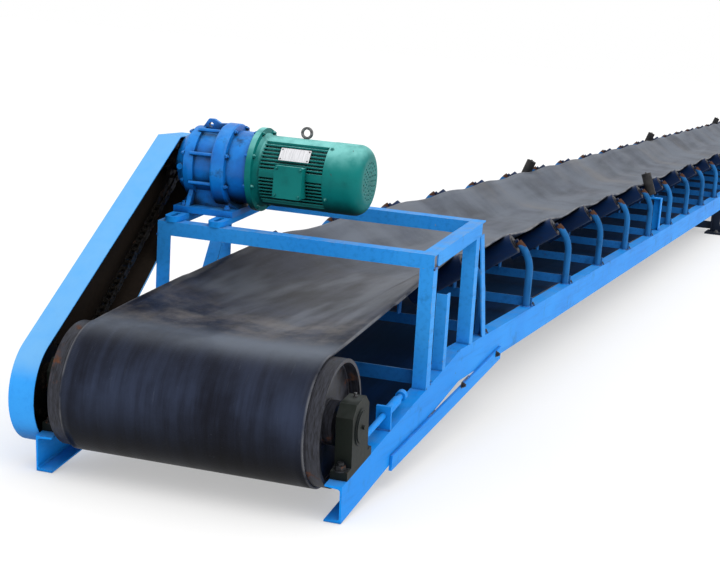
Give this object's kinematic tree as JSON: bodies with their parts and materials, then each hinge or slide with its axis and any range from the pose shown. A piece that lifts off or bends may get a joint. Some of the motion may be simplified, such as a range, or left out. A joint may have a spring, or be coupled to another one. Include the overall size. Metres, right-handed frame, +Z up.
{
  "type": "troughed belt conveyor with chain-driven head drum",
  "caption": "Low troughed roller-bed belt conveyor with a dipped head section, chain-driven head drum under a drive table, geared motor, guard, guide rollers and floor supports.",
  "frame": {"origin": "on the floor, at the centre of the four anchor holes of the first pair of supports, on the belt's centre line", "axes": "+X along the belt from the head drum to the tail, +Y to the side of the motor's chain drive, +Z up"},
  "size_m": [18.4843, 1.1708, 1.1033],
  "materials": {
    "blue": "sky blue enamel, brushed on, slightly chalked",
    "navy": "dark navy paint",
    "roller_paint": "dark navy paint on steel tube",
    "belt": "worn black conveyor rubber, dusty carrying side",
    "drum_steel": "dark paint worn to rusty steel at the rim",
    "bearing_olive": "dark olive painted casting",
    "reducer_blue": "deep blue gloss enamel on a casting",
    "motor_green": "teal green gloss enamel",
    "bright_steel": "plain steel",
    "chain_steel": "greasy dark steel",
    "guide_rubber": "charcoal rubber sleeve"
  },
  "bodies": {
    "frame": {"head_channel_right": "blue", "head_channel_left": "blue", "main_channel_right": "blue", "main_channel_left": "blue", "knee_tie_bars": "blue", "cross_angles": "blue", "head_cross_angle": "blue", "centre_rolls": "roller_paint", "wing_rolls_left": "roller_paint", "wing_rolls_right": "roller_paint", "idler_arms": "blue", "idler_posts": "blue", "return_rolls": "roller_paint", "belt_trough": "belt", "belt_head_transition": "belt", "belt_tail_transition": "belt", "belt_head_wrap": "belt", "belt_tail_wrap": "belt", "belt_return": "belt", "belt_return_head": "belt", "belt_return_tail": "belt", "head_bearing_right": "bearing_olive", "head_bearing_left": "bearing_olive", "jack_screws": "blue", "table_front_bar": "blue", "table_rear_bar": "blue", "table_side_bars": "blue", "table_front_legs": "blue", "table_rear_legs": "blue", "table_braces": "blue", "stub_posts": "blue", "slide_rails": "blue", "reducer": "reducer_blue", "motor_frame": "motor_green", "motor_fan_cowl": "motor_green", "terminal_box": "motor_green", "eye_bolt": "bright_steel", "chain_guard": "blue", "drive_chain": "chain_steel", "guide_brackets": "blue", "leg_posts": "navy", "leg_feet": "navy", "leg_ties": "navy", "tail_bearings": "bearing_olive", "take_up_screws": "blue"},
    "head_drum_body": {"head_drum": "drum_steel", "drum_sprocket": "chain_steel"},
    "drive_shaft_body": {"drive_sprocket": "chain_steel"},
    "tail_drum_body": {"tail_drum": "drum_steel"},
    "guide_roller_right_1_body": {"guide_roller_right_1": "guide_rubber"},
    "guide_roller_left_1_body": {"guide_roller_left_1": "guide_rubber"},
    "guide_roller_right_2_body": {"guide_roller_right_2": "guide_rubber"},
    "guide_roller_left_2_body": {"guide_roller_left_2": "guide_rubber"},
    "guide_roller_right_3_body": {"guide_roller_right_3": "guide_rubber"},
    "guide_roller_left_3_body": {"guide_roller_left_3": "guide_rubber"}
  },
  "joints": [
    {"name": "head_drum_spin", "type": "hinge", "parent": "frame", "child": "head_drum_body", "pos_m": [-9.68507, 0, 0.27742], "axis": [0, 1, 0], "continuous": true},
    {"name": "drive_shaft_spin", "type": "hinge", "parent": "frame", "child": "drive_shaft_body", "pos_m": [-8.78029, 0.56, 0.9353], "axis": [0, 1, 0], "continuous": true},
    {"name": "tail_drum_spin", "type": "hinge", "parent": "frame", "child": "tail_drum_body", "pos_m": [8.173, 0, 0.28426], "axis": [0, 1, 0], "continuous": true},
    {"name": "guide_right_1_spin", "type": "hinge", "parent": "frame", "child": "guide_roller_right_1_body", "pos_m": [-3.5145, -0.39354, 0.61865], "axis": [0, 0.342, 0.9397], "continuous": true},
    {"name": "guide_left_1_spin", "type": "hinge", "parent": "frame", "child": "guide_roller_left_1_body", "pos_m": [-3.5145, 0.39354, 0.61865], "axis": [0, -0.342, 0.9397], "continuous": true},
    {"name": "guide_right_2_spin", "type": "hinge", "parent": "frame", "child": "guide_roller_right_2_body", "pos_m": [1.5435, -0.39354, 0.61865], "axis": [0, 0.342, 0.9397], "continuous": true},
    {"name": "guide_left_2_spin", "type": "hinge", "parent": "frame", "child": "guide_roller_left_2_body", "pos_m": [1.5435, 0.39354, 0.61865], "axis": [0, -0.342, 0.9397], "continuous": true},
    {"name": "guide_right_3_spin", "type": "hinge", "parent": "frame", "child": "guide_roller_right_3_body", "pos_m": [6.6015, -0.39354, 0.61865], "axis": [0, 0.342, 0.9397], "continuous": true},
    {"name": "guide_left_3_spin", "type": "hinge", "parent": "frame", "child": "guide_roller_left_3_body", "pos_m": [6.6015, 0.39354, 0.61865], "axis": [0, -0.342, 0.9397], "continuous": true}
  ],
  "couplings": [
    {"joint": "drive_shaft_spin", "follows": "head_drum_spin", "ratio": 1.9167},
    {"joint": "tail_drum_spin", "follows": "head_drum_spin", "ratio": 1}
  ]
}
